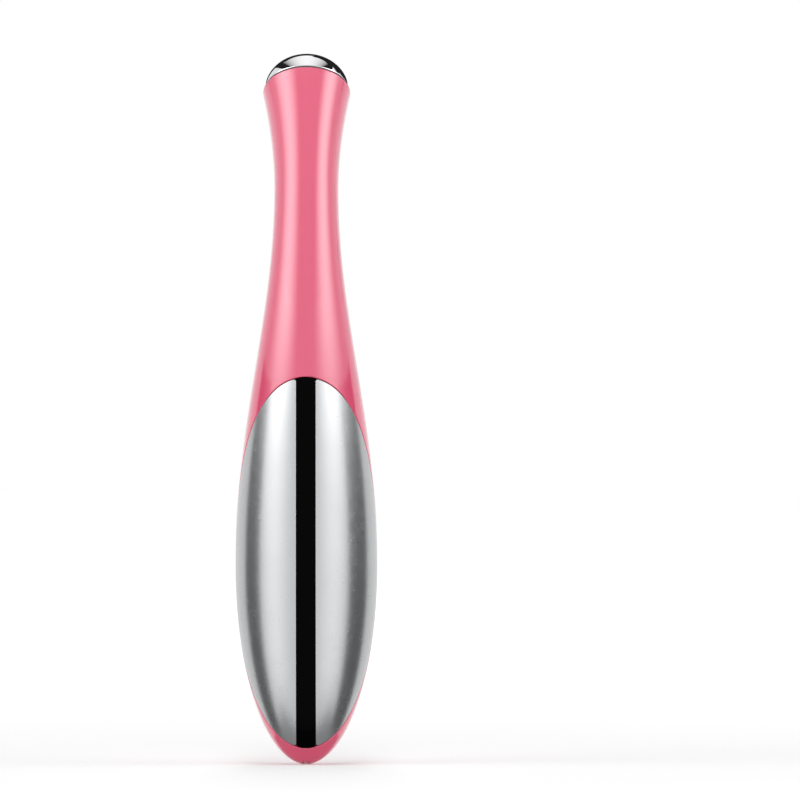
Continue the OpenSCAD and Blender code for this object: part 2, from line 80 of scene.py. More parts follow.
def placed(name: str, data: bpy.types.ID) -> bpy.types.Object:
    """A new object for a mesh, light or camera, put in the scene.

    Args:
        name: The object's name.
        data: Its mesh, light or camera.

    Returns:
        The object.
    """
    obj = bpy.data.objects.new(name, data)
    bpy.context.scene.collection.objects.link(obj)
    return obj


@dataclass(frozen=True)
class WandSkin:
    """The outer skin: elliptical sections up the body that fan out to the lean of the head.

    A place on it is (a, t): a is the angle round the section, 0 at the front and pi at the
    back, and t runs up the body, 1 at the widest section and below 0 on the flat foot. The
    powers bend the side curves between the sizes.
    """

    handle_width: float = 30.0
    handle_front: float = 13.97
    handle_back: float = 13.8
    belly_height: float = 41.5
    foot_offset: float = 2.9
    foot_sink: float = 0.08
    neck_width: float = 13.6
    neck_height: float = 121.5
    nape_back: float = 5.3
    nape_height: float = 105.0
    head_diameter: float = 18.6
    head_height: float = 142.0
    head_offset: float = 6.8
    head_lean: float = 35.0
    dome_radius: float = 8.9
    dome_height: float = 7.2
    seal_thickness: float = 0.6
    foot_disc: float = 0.03
    front_turn: float = 4.5
    fan_drop: float = 5.0
    foot_power: float = 0.5
    heel_power: float = 0.57
    ease_power: float = 1.06
    flare_power: float = 1.9
    bend_power: float = 2.35
    probe: float = 1e-4

    @property
    def lean(self) -> float:
        """Lean of the head in radians."""
        return np.radians(self.head_lean)

    @property
    def shift(self) -> float:
        """How far the handle's axis stands behind the middle of the whole wand."""
        reach = np.hypot(self.dome_radius * np.cos(self.lean), self.dome_height * np.sin(self.lean))
        back = self.head_offset + self.seal_thickness * np.sin(self.lean) + reach
        return (self.handle_front - back) / 2

    @property
    def rim(self) -> tuple[np.ndarray, np.ndarray]:
        """Front and back points (y, z) of the rim under the head."""
        arm = self.head_diameter / 2 * np.array([np.cos(self.lean), -np.sin(self.lean)])
        middle = np.array([self.head_offset, self.head_height])
        return middle - arm, middle + arm

    def _foot(self, z: np.ndarray, full: float, power: float) -> np.ndarray:
        """Share of the full size that a section has while the foot swells up to full.

        Args:
            z: Height of the section.
            full: Height at which the foot is full.
            power: 0.5 for a round foot, more for a leaner one.

        Returns:
            The share, from 0 to 1.
        """
        k = (full - z) / (full + self.foot_sink)
        return np.maximum(0.0, 1 - k * k) ** power

    def _ease(self, t: np.ndarray) -> np.ndarray:
        """A slow start and end between 0 and 1."""
        return (1 - np.cos(np.pi * np.clip(t, 0, 1) ** self.ease_power)) / 2

    def half_width(self, z: np.ndarray) -> np.ndarray:
        """Half of the width seen from the front at height z.

        Args:
            z: Heights on the body.

        Returns:
            The half widths.
        """
        full, neck = self.handle_width / 2, self.neck_width / 2
        span = self.neck_height - self.belly_height
        flare = np.maximum(0, (z - self.neck_height) / (self.head_height - self.neck_height))
        body = full - (full - neck) * self._ease((z - self.belly_height) / span)
        belly = self.belly_height
        low = full * self._foot(np.minimum(z, belly), belly, self.foot_power)
        high = neck + (self.head_diameter / 2 - neck) * flare**self.flare_power
        return np.where(z < self.belly_height, low, np.where(z < self.neck_height, body, high))

    def front(self, z: np.ndarray) -> np.ndarray:
        """Depth of the front curve at height z.

        Args:
            z: Heights on the front.

        Returns:
            The depths, negative towards the plates.
        """
        top, turn = self.rim[0], self.belly_height + self.front_turn
        swell = self._foot(np.minimum(z, turn), turn, self.foot_power)
        low = -self.foot_offset - (self.handle_front - self.foot_offset) * swell
        rise = np.maximum(0, (z - turn) / (top[1] - turn)) ** self.bend_power
        return np.where(z < turn, low, -self.handle_front + (self.handle_front + top[0]) * rise)

    def back(self, z: np.ndarray) -> np.ndarray:
        """Depth of the back curve at height z.

        Args:
            z: Heights on the back.

        Returns:
            The depths, positive towards the cover.
        """
        top = self.rim[1]
        belly = self.belly_height
        swell = self._foot(np.minimum(z, belly), belly, self.heel_power)
        low = -self.foot_offset + (self.handle_back + self.foot_offset) * swell
        ease = self._ease((z - self.belly_height) / (self.nape_height - self.belly_height))
        body = self.handle_back - (self.handle_back - self.nape_back) * ease
        rise = np.maximum(0, (z - self.nape_height) / (top[1] - self.nape_height)) ** 2
        high = self.nape_back + (top[0] - self.nape_back) * rise
        return np.where(z < self.belly_height, low, np.where(z < self.nape_height, body, high))

    def height(self, t: np.ndarray) -> np.ndarray:
        """Height along the body at t.

        Args:
            t: Places up the body.

        Returns:
            The heights.
        """
        t = np.maximum(t, 0.0)
        foot = self.belly_height * (1 - np.cos(np.pi / 2 * np.minimum(t, 1)))
        return np.where(t < 1, foot, self.belly_height * (1 + (t - 1) * np.pi / 2))

    def at_height(self, s: np.ndarray) -> np.ndarray:
        """The t that lies at height s along the body.

        Args:
            s: Heights along the body.

        Returns:
            The places up the body.
        """
        s = np.asarray(s, float)
        foot = np.arccos(np.clip(1 - s / self.belly_height, -1, 1)) * 2 / np.pi
        return np.where(s < self.belly_height, foot, 1 + (s / self.belly_height - 1) * 2 / np.pi)

    def section(self, t: np.ndarray) -> tuple[np.ndarray, np.ndarray, np.ndarray]:
        """Half width, middle (y, z) and half depth (y, z) of the sections at t.

        Args:
            t: Places up the body.

        Returns:
            The three arrays.
        """
        s = self.height(t)
        fan_from = self.nape_height - self.fan_drop
        share = np.maximum(0, (s - fan_from) / (self.head_height - fan_from))
        rim_front, rim_back = self.rim
        zf = np.where(s > fan_from, fan_from + share * (rim_front[1] - fan_from), s)
        zb = np.where(s > fan_from, fan_from + share * (rim_back[1] - fan_from), s)
        f = np.stack([self.front(zf), zf], -1)
        b = np.stack([self.back(zb), zb], -1)
        disc = np.clip(1 + t / self.foot_disc, 0, 1)
        return self.half_width(s) * disc, (f + b) / 2, (b - f) / 2 * disc[..., None]

    def points(self, a: np.ndarray, t: np.ndarray) -> np.ndarray:
        """Points of the skin at (a, t), in the part's own place.

        Args:
            a: Angles round the sections.
            t: Places up the body.

        Returns:
            The points in mm.
        """
        w, middle, half = self.section(t)
        yz = middle - half * np.cos(a)[..., None]
        return np.stack([w * np.sin(a), yz[..., 0] + self.shift, yz[..., 1]], -1)

    def tangents(self, a: np.ndarray, t: np.ndarray) -> tuple[np.ndarray, np.ndarray]:
        """How the point moves with a and with t.

        Args:
            a: Angles round the sections.
            t: Places up the body.

        Returns:
            The two derivatives of the point.
        """
        d = self.probe
        along_a = (self.points(a + d, t) - self.points(a - d, t)) / (2 * d)
        along_t = (self.points(a, t + d) - self.points(a, t - d)) / (2 * d)
        return along_a, along_t

    def normals(self, a: np.ndarray, t: np.ndarray) -> np.ndarray:
        """Outward normals of the skin at (a, t).

        Args:
            a: Angles round the sections.
            t: Places up the body.

        Returns:
            The normals, straight down on the flat foot.
        """
        along_a, along_t = self.tangents(a, np.maximum(t, 2 * self.probe))
        n = unit(np.cross(along_a, along_t))
        flat = np.clip(-t / self.foot_disc, 0, 1)[..., None]
        return unit(n * (1 - flat) + np.array([0, 0, -1.0]) * flat)

    def angle_at_depth(self, y: np.ndarray, t: np.ndarray) -> np.ndarray:
        """The angle at which the section at t passes the depth y on the handle's axis.

        Args:
            y: Depths from the handle's axis.
            t: Places up the body.

        Returns:
            The angles.
        """
        _, middle, half = self.section(t)
        cosine = (middle[..., 0] - y) / np.maximum(half[..., 0], 1e-9)
        return np.arccos(np.clip(cosine, -1, 1))

    def angle_at_side(self, x: np.ndarray, t: np.ndarray) -> np.ndarray:
        """The angle on the front half at which the section at t passes x."""
        w = self.section(t)[0]
        return np.arcsin(np.clip(x / w, -1, 1))

    def head_frame(self, r: np.ndarray, h: np.ndarray, turns: np.ndarray) -> np.ndarray:
        """Points at radius r, height h over the rim plane and angle turns about the head's axis.

        Args:
            r: Radii from the head's axis.
            h: Heights over the rim's plane.
            turns: Angles about the head's axis.

        Returns:
            The points in mm.
        """
        lean = self.lean
        x, v = r * np.cos(turns), r * np.sin(turns)
        y = self.head_offset + v * np.cos(lean) + h * np.sin(lean)
        z = self.head_height - v * np.sin(lean) + h * np.cos(lean)
        return np.stack([x, y + self.shift, z], -1)


@dataclass(frozen=True)
class Outline:
    """A curve on the skin: rows of (a, t), in order up the body."""

    skin: WandSkin
    curve: np.ndarray

    def across(self) -> np.ndarray:
        """In-skin directions square to the curve, to its left as it is seen from outside.

        Returns:
            One direction for each point.
        """
        c = self.curve
        head, tail = 2 * c[:1] - c[1:2], 2 * c[-1:] - c[-2:-1]
        if abs(c[0, 0]) < 1e-6:
            head = c[1:2] * [-1, 1]
        if abs(c[-1, 0]) < 1e-6:
            tail = c[-2:-1] * [-1, 1]
        if abs(c[-1, 0] - np.pi) < 1e-6:
            tail = np.array([[2 * np.pi - c[-2, 0], c[-2, 1]]])
        if np.allclose(c[0], c[-1]):
            head, tail = c[-2:-1], c[1:2]
        full = np.concatenate([head, c, tail])
        p = self.skin.points(full[:, 0], full[:, 1])
        n = self.skin.normals(c[:, 0], c[:, 1])
        one, two = unit(p[1:-1] - p[:-2]), unit(p[2:] - p[1:-1])
        return unit(np.cross(n, unit(one + two)))

    def moved(self, distance: float) -> "Outline":
        """The curve moved over the skin to its left by a distance in mm.

        Args:
            distance: How far, below 0 to its right.

        Returns:
            The moved curve, with its ends still on the middle line.
        """
        a, t = self.curve[:, 0], self.curve[:, 1]
        want = self.across() * distance
        pa, pt = self.skin.tangents(a, t)
        aa, at, tt = (pa * pa).sum(-1), (pa * pt).sum(-1), (pt * pt).sum(-1)
        wa, wt = (want * pa).sum(-1), (want * pt).sum(-1)
        det = np.maximum(aa * tt - at * at, 1e-9)
        step = np.stack([(wa * tt - wt * at) / det, (wt * aa - wa * at) / det], -1)
        out = self.curve + step
        keep = np.isclose(self.curve[:, 0], 0) | np.isclose(self.curve[:, 0], np.pi)
        out[keep, 0] = self.curve[keep, 0]
        return Outline(self.skin, out)

    def rounded(self, corner: int, reach: float) -> "Outline":
        """The curve with one corner eased into a bend that starts reach mm to each side.

        Args:
            corner: Index of the corner's point.
            reach: Length of the bend to each side.

        Returns:
            The eased curve, with as many points.
        """
        c = self.curve
        p = self.skin.points(c[:, 0], c[:, 1])
        arc = np.concatenate([[0], np.cumsum(np.linalg.norm(np.diff(p, axis=0), axis=1))])
        low = max(int(np.searchsorted(arc, arc[corner] - reach)), 0)
        high = min(int(np.searchsorted(arc, arc[corner] + reach)), len(c) - 1)
        u = np.linspace(0, 1, high - low + 1)[:, None]
        bend = (1 - u) ** 2 * c[low] + 2 * u * (1 - u) * c[corner] + u * u * c[high]
        return Outline(self.skin, np.concatenate([c[:low], bend, c[high + 1 :]]))


@dataclass
class MeshDraft:
    """Gathers grids of points with their normals and becomes one mesh object."""

    name: str
    points: list[np.ndarray] = field(default_factory=list)
    normals: list[np.ndarray] = field(default_factory=list)
    quads: list[np.ndarray] = field(default_factory=list)
    flat: list[tuple[np.ndarray, list[tuple[int, ...]]]] = field(default_factory=list)
    count: int = 0

    def grid(self, p: np.ndarray, n: np.ndarray, mirror: bool = False) -> None:
        """Adds a grid of quads.

        Args:
            p: Points, rows by columns by 3, in mm.
            n: Their normals.
            mirror: Adds the other half too, across the plane x = 0.
        """
        rows, cols = p.shape[:2]
        index = np.arange(rows * cols).reshape(rows, cols) + self.count
        quads = np.stack([index[:-1, :-1], index[:-1, 1:], index[1:, 1:], index[1:, :-1]], -1)
        quads = quads.reshape(-1, 4)
        face = np.cross(p[1:, 1:] - p[:-1, :-1], p[1:, :-1] - p[:-1, 1:])
        if (face * n[:-1, :-1]).sum() < 0:
            quads = quads[:, ::-1]
        self.points.append(p.reshape(-1, 3))
        self.normals.append(n.reshape(-1, 3))
        self.quads.append(quads)
        self.count += rows * cols
        if mirror:
            other = np.array([-1.0, 1, 1])
            self.grid(p * other, n * other)

    def inside_of(self, node: str, depth: float) -> None:
        """Adds the faces of a CAD node that lie deeper than depth mm under the grids so far.

        Args:
            node: The CAD node.
            depth: The least depth of the faces' corners.
        """
        p, quads = np.concatenate(self.points), np.concatenate(self.quads)
        tree = BVHTree.FromPolygons((p * MM).tolist(), quads.tolist())
        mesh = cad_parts[node].data
        deep = [tree.find_nearest(v.co)[3] > depth * MM for v in mesh.vertices]
        faces = [tuple(f.vertices) for f in mesh.polygons if all(deep[i] for i in f.vertices)]
        self.flat.append((np.array([v.co for v in mesh.vertices]), faces))

    def build(self) -> bpy.types.Object:
        """Makes the mesh, with shared points merged and its normals set.

        Returns:
            The object that holds the mesh.
        """
        points = np.concatenate(self.points) * MM
        normals = np.concatenate(self.normals)
        welded = np.round(points * 1e7).astype(np.int64)
        _, first, label = np.unique(welded, axis=0, return_index=True, return_inverse=True)
        label = label.reshape(-1)
        faces, corner_normals = [], []
        for quad in np.concatenate(self.quads).tolist():
            ring, names = [], []
            for i in quad:
                if label[i] not in names:
                    names.append(label[i])
                    ring.append(i)
            if len(ring) > 2:
                faces.append([int(k) for k in names])
                corner_normals.extend(normals[ring])
        smooth = len(faces)
        verts = [points[first]]
        base = len(first)
        for extra, polys in self.flat:
            used = sorted({i for f in polys for i in f})
            place = {i: base + k for k, i in enumerate(used)}
            verts.append(extra[used])
            base += len(used)
            for f in polys:
                faces.append([place[i] for i in f])
                corner_normals.extend([(0.0, 0.0, 0.0)] * len(f))
        mesh = bpy.data.meshes.new(self.name)
        mesh.from_pydata(np.concatenate(verts).tolist(), [], faces)
        mesh.polygons.foreach_set("use_smooth", np.arange(len(faces)) < smooth)
        mesh.normals_split_custom_set([tuple(float(c) for c in n) for n in corner_normals])
        return placed(self.name, mesh)


def rolled_edge(draft: MeshDraft, edge: Outline, side: int, radius: float, depth: float,
                mirror: bool = True) -> None:
    """Rolls a shell's edge over and takes its wall down into the body.

    Args:
        draft: The mesh that the edge belongs to.
        edge: The edge of its smooth patch, already radius short of the true edge.
        side: 1 where the open side is to the curve's left, -1 to its right.
        radius: Radius of the roll.
        depth: Depth of the wall under the skin.
        mirror: Adds the other half too.
    """
    a, t = edge.curve[:, 0], edge.curve[:, 1]
    p, n, m = edge.skin.points(a, t), edge.skin.normals(a, t), edge.across() * side
    phi = np.linspace(0, np.pi / 2, 6)[None, :, None]
    turn = n[:, None] * np.cos(phi) + m[:, None] * np.sin(phi)
    draft.grid(p[:, None] - radius * n[:, None] + radius * turn, turn, mirror)
    wall = p - radius * n + radius * m
    both = np.stack([wall, wall - (depth - radius) * n], 1)
    draft.grid(both, np.repeat(m[:, None], 2, 1), mirror)


def ruled(draft: MeshDraft, one: Outline, two: Outline, columns: int, mirror: bool = True) -> None:
    """Fills the skin between two outlines of equal length with rows of quads.

    Args:
        draft: The mesh to fill.
        one: The outline on one side.
        two: The outline on the other side, on the same skin.
        columns: Points from one to the other.
        mirror: Adds the other half too.
    """
    w = np.linspace(0, 1, columns)[None, :, None]
    d = one.curve[:, None] * (1 - w) + two.curve[:, None] * w
    a, t = d[..., 0], d[..., 1]
    draft.grid(one.skin.points(a, t), one.skin.normals(a, t), mirror)


# ---------------------------------------------------------------- the cuts in the skin


@dataclass(frozen=True)
class PlateCut:
    """The oval edge of the touch plates, a side view curve cut through the whole body."""

    skin: WandSkin
    wrap: float = 0.85
    middle: float = 36.0
    top_radius: float = 83.0
    foot_depth: float = 9.4
    strip_width: float = 4.0
    bow_power: float = 1.5
    low_span: tuple[float, float] = (1.5, 20.0)
    high_span: tuple[float, float] = (60.0, 100.0)
    fine_rows: int = 900

    def depth(self, z: np.ndarray) -> np.ndarray:
        """Depth of the cut at height z.

        Args:
            z: Heights on the body.

        Returns:
            The depths from the handle's axis.
        """
        low = np.clip((self.middle - z) / self.middle, 0, 1)
        high = np.clip(z - self.middle, 0, self.top_radius)
        bow = self.foot_depth * low**self.bow_power
        return self.wrap - bow - (self.top_radius - np.sqrt(self.top_radius**2 - high**2))

    def apex(self, low: float, high: float) -> float:
        """Height between low and high at which the cut leaves the front of the body.

        Args:
            low: A height on one side of it.
            high: A height on its other side.

        Returns:
            The height, found by halving.
        """
        inside = self.skin.front(np.array(high)) < self.depth(np.array(high))
        for _ in range(50):
            mid = (low + high) / 2
            if (self.skin.front(np.array(mid)) < self.depth(np.array(mid))) == inside:
                high = mid
            else:
                low = mid
        return mid

    def edge(self, turn: float, low_count: int, high_count: int) -> Outline:
        """The cut from its lower to its upper apex.

        Args:
            turn: Height at which the spacing of the points changes over.
            low_count: Points below it.
            high_count: Points above it.

        Returns:
            The cut on the right half of the body.
        """
        ends = np.array([self.apex(*self.low_span), self.apex(*self.high_span)])
        first, last = self.skin.at_height(ends)
        knee = self.skin.at_height(turn)
        t = np.concatenate([first + (knee - first) * eased(low_count + 1, True, False)[:-1],
                            knee + (last - knee) * eased(high_count, False, True)])
        a = self.skin.angle_at_depth(self.depth(self.skin.height(t)), t)
        a[[0, -1]] = 0
        return Outline(self.skin, np.stack([a, t], -1))

    def beside_strip(self, x: float, count: int) -> tuple[np.ndarray, np.ndarray, np.ndarray]:
        """The cut outside a line at x, and the line itself, both upwards, and the apex heights.

        Args:
            x: Distance of the line from the middle.
            count: Points on each.

        Returns:
            The cut, the line and the t of both apexes.
        """
        full = self.edge(self.middle, self.fine_rows, self.fine_rows).curve
        xs = self.skin.points(full[:, 0], full[:, 1])[:, 0]
        peak = int(np.argmax(xs))
        low = np.interp(x, xs[:peak], full[:peak, 1])
        high = np.interp(-x, -xs[peak:], full[peak:, 1])
        t = low + (high - low) * eased(count)
        outer = np.stack([self.skin.angle_at_depth(self.depth(self.skin.height(t)), t), t], -1)
        line = np.stack([self.skin.angle_at_side(np.full(count, x), t), t], -1)
        outer[[0, -1]] = line[[0, -1]]
        return outer, line, full[[0, -1], 1]


@dataclass(frozen=True)
class CoverCut:
    """The seam round the battery cover: a side seam, level shoulders and a tongue at the back."""

    skin: WandSkin
    seam: float = 3.3
    middle: float = 32.0
    top_radius: float = 264.0
    foot_depth: float = 8.0
    top: float = 71.0
    tongue_rise: float = 6.5
    tongue_width: float = 12.0
    fillet: float = 1.8
    gap: float = 0.3
    bow_span: float = 32.5
    tongue_corner: float = 1.2
    corner_reach: float = 0.9

    def depth(self, z: np.ndarray) -> np.ndarray:
        """Depth of the side seam at height z.

        Args:
            z: Heights on the body.

        Returns:
            The depths from the handle's axis.
        """
        low = np.clip((self.middle - z) / self.bow_span, 0, 1)
        high = np.clip(z - self.middle, 0, None)
        bow = self.foot_depth * (1 - np.sqrt(1 - low**2))
        return self.seam - bow - (self.top_radius - np.sqrt(self.top_radius**2 - high**2))

    def start(self) -> float:
        """The t on the flat foot at which the seam crosses the middle.

        Returns:
            The t, below 0.
        """
        _, middle, half = self.skin.section(np.array(0.0))
        share = (middle[0] - float(self.depth(np.array(0.0)))) / half[0]
        return -self.skin.foot_disc * (1 - share)

    def edge(self, side: int, shoulder: int, tongue: int) -> Outline:
        """The seam from the foot to the top of the tongue, with its corners eased.

        Args:
            side: Points up the side seam.
            shoulder: Points along the shoulder.
            tongue: Points round the tongue.

        Returns:
            The seam on the right half of the body.
        """
        skin = self.skin
        t = self.start() + (skin.at_height(self.top) - self.start()) * eased(side)
        a = skin.angle_at_depth(self.depth(skin.height(t)), t)
        a[0] = 0
        half = self.tongue_width / 2
        x_from = float(skin.points(a[-1:], t[-1:])[0, 0])
        xs = x_from + (half + self.fillet - x_from) * eased(shoulder + 1)[1:]
        crown = half - self.tongue_corner
        round_from = self.top + self.tongue_rise - crown
        arc = np.linspace(0, np.pi / 2, tongue // 3 + 1)[1:]
        loop = np.linspace(0, np.pi / 2, tongue - len(arc) + 1)[1:]
        xs = np.concatenate([xs, half + self.fillet * (1 - np.sin(arc)), half * np.cos(loop)])
        rise = (round_from - self.top) * (1 - np.cos(arc)) + self.top
        zs = np.concatenate([np.full(shoulder, self.top), rise,
                             round_from + crown * np.sin(loop)])
        ts = skin.at_height(zs)
        back = np.pi - skin.angle_at_side(xs, ts)
        back[-1] = np.pi
        curve = np.concatenate([np.stack([a, t], -1), np.stack([back, ts], -1)])
        return Outline(skin, curve).rounded(side - 1, self.corner_reach)


def middle_line(angle: float, first: float, last: float, spread: np.ndarray) -> np.ndarray:
    """Rows of (a, t) up the front or back middle line.

    Args:
        angle: 0 for the front, pi for the back.
        first: The t where it starts.
        last: The t where it ends.
        spread: Shares of the way, from 0 to 1.

    Returns:
        The rows.
    """
    return np.stack([np.full(len(spread), angle), first + (last - first) * spread], -1)


# ---------------------------------------------------------------- the moulded and plated pieces


@dataclass
class Moulding:
    """A moulded or plated piece of the skin that takes the place of one CAD node."""

    skin: WandSkin
    node: str
    body: str
    finish: "Finish"
    roll: float = 0.2
    wall: float = 1.72
    inner_depth: float = 0.7
    columns: int = 56

    def draw(self, draft: MeshDraft) -> None:
        """Draws the piece's outside into the draft."""
        raise NotImplementedError

    def build(self) -> bpy.types.Object:
        """Makes the piece, with the CAD node's own inside, and puts it on its body.

        Returns:
            The finished object.
        """
        draft = MeshDraft(self.node + "_finished")
        self.draw(draft)
        draft.inside_of(self.node, self.inner_depth)
        obj = draft.build()
        obj.data.materials.append(self.finish.material())
        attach(obj, self.body)
        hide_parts(self.node)
        log.info("%s: %d faces", obj.name, len(obj.data.polygons))
        return obj


@dataclass
class ShellMoulding(Moulding):
    """The one-piece shell: front frame round the plates, neck and rim under the head."""

    plate_joint: float = 0.12
    plate_depth: float = 1.32
    rim_roll: float = 0.18
    turn_drop: float = 0.6
    counts: tuple[int, int, int, int, int] = (26, 150, 26, 54, 130)

    def draw(self, draft: MeshDraft) -> None:
        """Draws the skin between the plates' edge and the cover's seam, up to the rim.

        Args:
            draft: The mesh to draw in.
        """
        foot, side, shoulder, tongue, neck = self.counts
        skin = self.skin
        plates, cover = PlateCut(skin), CoverCut(skin)
        frame_edge = plates.edge(cover.top - self.turn_drop, side, shoulder + tongue)
        frame_edge = frame_edge.moved(-self.plate_joint - self.roll)
        seam = cover.edge(foot + side, shoulder, tongue).moved(cover.gap / 2 + self.roll)
        rim = skin.at_height(skin.head_height)
        rise = np.linalg.norm(skin.tangents(np.array(0.0), rim)[1])
        rim = float(rim - self.rim_roll / rise)
        up_neck = eased(neck + 1, True, False)[1:]
        low = middle_line(0, seam.curve[0, 1], frame_edge.curve[0, 1], eased(foot + 1)[:-1])
        high = middle_line(0, frame_edge.curve[-1, 1], rim, up_neck)
        back = middle_line(np.pi, seam.curve[-1, 1], rim, up_neck)
        one = np.concatenate([low, frame_edge.curve, high])
        two = np.concatenate([seam.curve, back])
        ruled(draft, Outline(skin, one), Outline(skin, two), self.columns)
        rolled_edge(draft, frame_edge, 1, self.roll, self.plate_depth)
        rolled_edge(draft, seam, -1, self.roll, self.wall)
        ring = np.stack([np.linspace(0, np.pi, self.columns), np.full(self.columns, rim)], -1)
        rolled_edge(draft, Outline(skin, ring), 1, self.rim_roll, self.wall)


@dataclass
class CoverMoulding(Moulding):
    """The battery cover: the back of the handle with its tongue, down to the foot."""

    counts: tuple[int, int, int] = (170, 26, 54)
    shoulder_span: tuple[float, float] = (60.0, 65.0)
    disc_rows: int = 6

    def draw(self, draft: MeshDraft) -> None:
        """Draws the skin between the seam and the back's middle line, and the flat of the foot.

        Args:
            draft: The mesh to draw in.
        """
        side, shoulder, tongue = self.counts
        skin, cover = self.skin, CoverCut(self.skin)
        seam = cover.edge(side, shoulder, tongue).moved(-cover.gap / 2 - self.roll)
        first, last = seam.curve[0, 1], seam.curve[-1, 1]
        low, high = skin.at_height(np.array(self.shoulder_span))
        back = np.concatenate([
            middle_line(np.pi, first, low, eased(side)),
            middle_line(np.pi, low, high, eased(shoulder + 1, False, False)[1:]),
            middle_line(np.pi, high, last, eased(tongue + 1, False, True)[1:])])
        ruled(draft, seam, Outline(skin, back), self.columns)
        rolled_edge(draft, seam, 1, self.roll, self.wall)
        turns = np.linspace(0, np.pi, self.columns)
        rings = np.linspace(-skin.foot_disc, first, self.disc_rows)
        t, a = np.meshgrid(rings, turns, indexing="ij")
        draft.grid(skin.points(a, t), skin.normals(a, t), True)


@dataclass
class TouchPlate(Moulding):
    """One of the two chromed touch plates, from the strip round to the shell."""

    side: int = 1
    roll: float = 0.16
    wall: float = 1.2
    columns: int = 48
    rows: int = 260
    lap: int = 40
    joint: float = 0.06
    corner: float = 0.8

    def draw(self, draft: MeshDraft) -> None:
        """Draws the plate between its straight edge by the strip and its curved outer edge.

        Args:
            draft: The mesh to draw in.
        """
        skin, cut = self.skin, PlateCut(self.skin)
        outer, line, _ = cut.beside_strip(cut.strip_width / 2 + self.joint, self.rows)
        loop = np.roll(np.concatenate([outer, line[-2:0:-1]]), self.lap, axis=0)
        lower, upper = self.lap, self.lap + self.rows - 1
        closed = Outline(skin, loop).rounded(lower, self.corner).rounded(upper, self.corner)
        closed = np.roll(closed.curve, -self.lap, axis=0)
        closed = np.concatenate([closed, closed[:1]])
        inner = Outline(skin, closed).moved(self.roll)
        one = inner.curve[: self.rows]
        two = inner.curve[self.rows - 1 :][::-1]
        ruled(draft, Outline(skin, one), Outline(skin, two), self.columns, False)
        rolled_edge(draft, inner, -1, self.roll, self.wall, False)
        if self.side < 0:
            flip = np.array([-1.0, 1, 1])
            draft.points = [p * flip for p in draft.points]
            draft.normals = [n * flip for n in draft.normals]
            draft.quads = [q[:, ::-1] for q in draft.quads]


@dataclass
class InsulatingStrip(Moulding):
    """The gloss black strip that keeps the two touch plates apart."""

    roll: float = 0.12
    wall: float = 1.2
    columns: int = 8
    rows: int = 220
    tip_rows: int = 16
    corner: float = 0.5

    def draw(self, draft: MeshDraft) -> None:
        """Draws half of the strip from the middle line out to its straight edge.

        Args:
            draft: The mesh to draw in.
        """
        cut = PlateCut(self.skin)
        _, line, tips = cut.beside_strip(cut.strip_width / 2, self.rows)
        ends = []
        for tip, start in ((tips[0], line[0, 1]), (tips[1], line[-1, 1])):
            t = tip + (start - tip) * eased(self.tip_rows, True, False)
            a = self.skin.angle_at_depth(cut.depth(self.skin.height(t)), t)
            a[0] = 0
            ends.append(np.stack([a, t], -1))
        curve = np.concatenate([ends[0][:-1], line, ends[1][::-1][1:]])
        lower, upper = self.tip_rows - 1, self.tip_rows + self.rows - 2
        edge = Outline(self.skin, curve).rounded(lower, self.corner).rounded(upper, self.corner)
        edge = edge.moved(self.roll)
        middle = np.stack([np.zeros(len(edge.curve)), edge.curve[:, 1]], -1)
        ruled(draft, Outline(self.skin, middle), edge, self.columns)
        rolled_edge(draft, edge, -1, self.roll, self.wall)


@dataclass
class Turned(Moulding):
    """A piece turned about the head's axis; sharper corners than crease stay sharp."""

    turns: int = 160
    crease: float = 40.0

    def outline(self) -> np.ndarray:
        """The profile as rows of radius and height."""
        raise NotImplementedError

    def draw(self, draft: MeshDraft) -> None:
        """Turns the profile about the head's axis, with soft normals along its smooth runs.

        Args:
            draft: The mesh to draw in.
        """
        rows = self.outline()
        way = unit(np.diff(rows, axis=0))
        side = np.stack([way[:, 1], -way[:, 0]], -1)
        angle = np.linspace(0, 2 * np.pi, self.turns + 1)
        lean = self.skin.lean
        sharp = np.cos(np.radians(self.crease))
        for i in range(len(rows) - 1):
            ends = []
            for k, j in ((i, i - 1), (i + 1, i + 1)):
                near = side[j] if 0 <= j < len(side) and side[j] @ side[i] > sharp else side[i]
                ends.append(unit(side[i] + near))
            pair = rows[[i, i + 1]]
            p = self.skin.head_frame(pair[:, :1], pair[:, 1:], angle[None, :])
            nr = np.array([e[0] for e in ends])[:, None]
            nh = np.array([e[1] for e in ends])[:, None]
            v, h = nr * np.sin(angle), nh + 0 * angle
            n = np.stack([nr * np.cos(angle), v * np.cos(lean) + h * np.sin(lean),
                          h * np.cos(lean) - v * np.sin(lean)], -1)
            draft.grid(p, n)


@dataclass
class HeadDome(Turned):
    """The warm chromed dome that touches the skin."""

    edge_roll: float = 0.25
    lip: float = 1.35

    def outline(self) -> np.ndarray:
        """A rounded lower edge and then an ellipse up to the crown.

        Returns:
            The profile as rows of radius and height.
        """
        r, low, high = self.skin.dome_radius, self.skin.seal_thickness, self.skin.dome_height
        foot = np.linspace(-np.pi / 2, 0, 7)
        roll = self.edge_roll
        edge = np.stack([r - roll + roll * np.cos(foot), low + roll + roll * np.sin(foot)], -1)
        lift = np.linspace(0, np.pi / 2, 60)[1:]
        top = np.stack([r * np.cos(lift), low + roll + (high - roll) * np.sin(lift)], -1)
        return np.concatenate([[[r - self.lip, low]], edge, top])


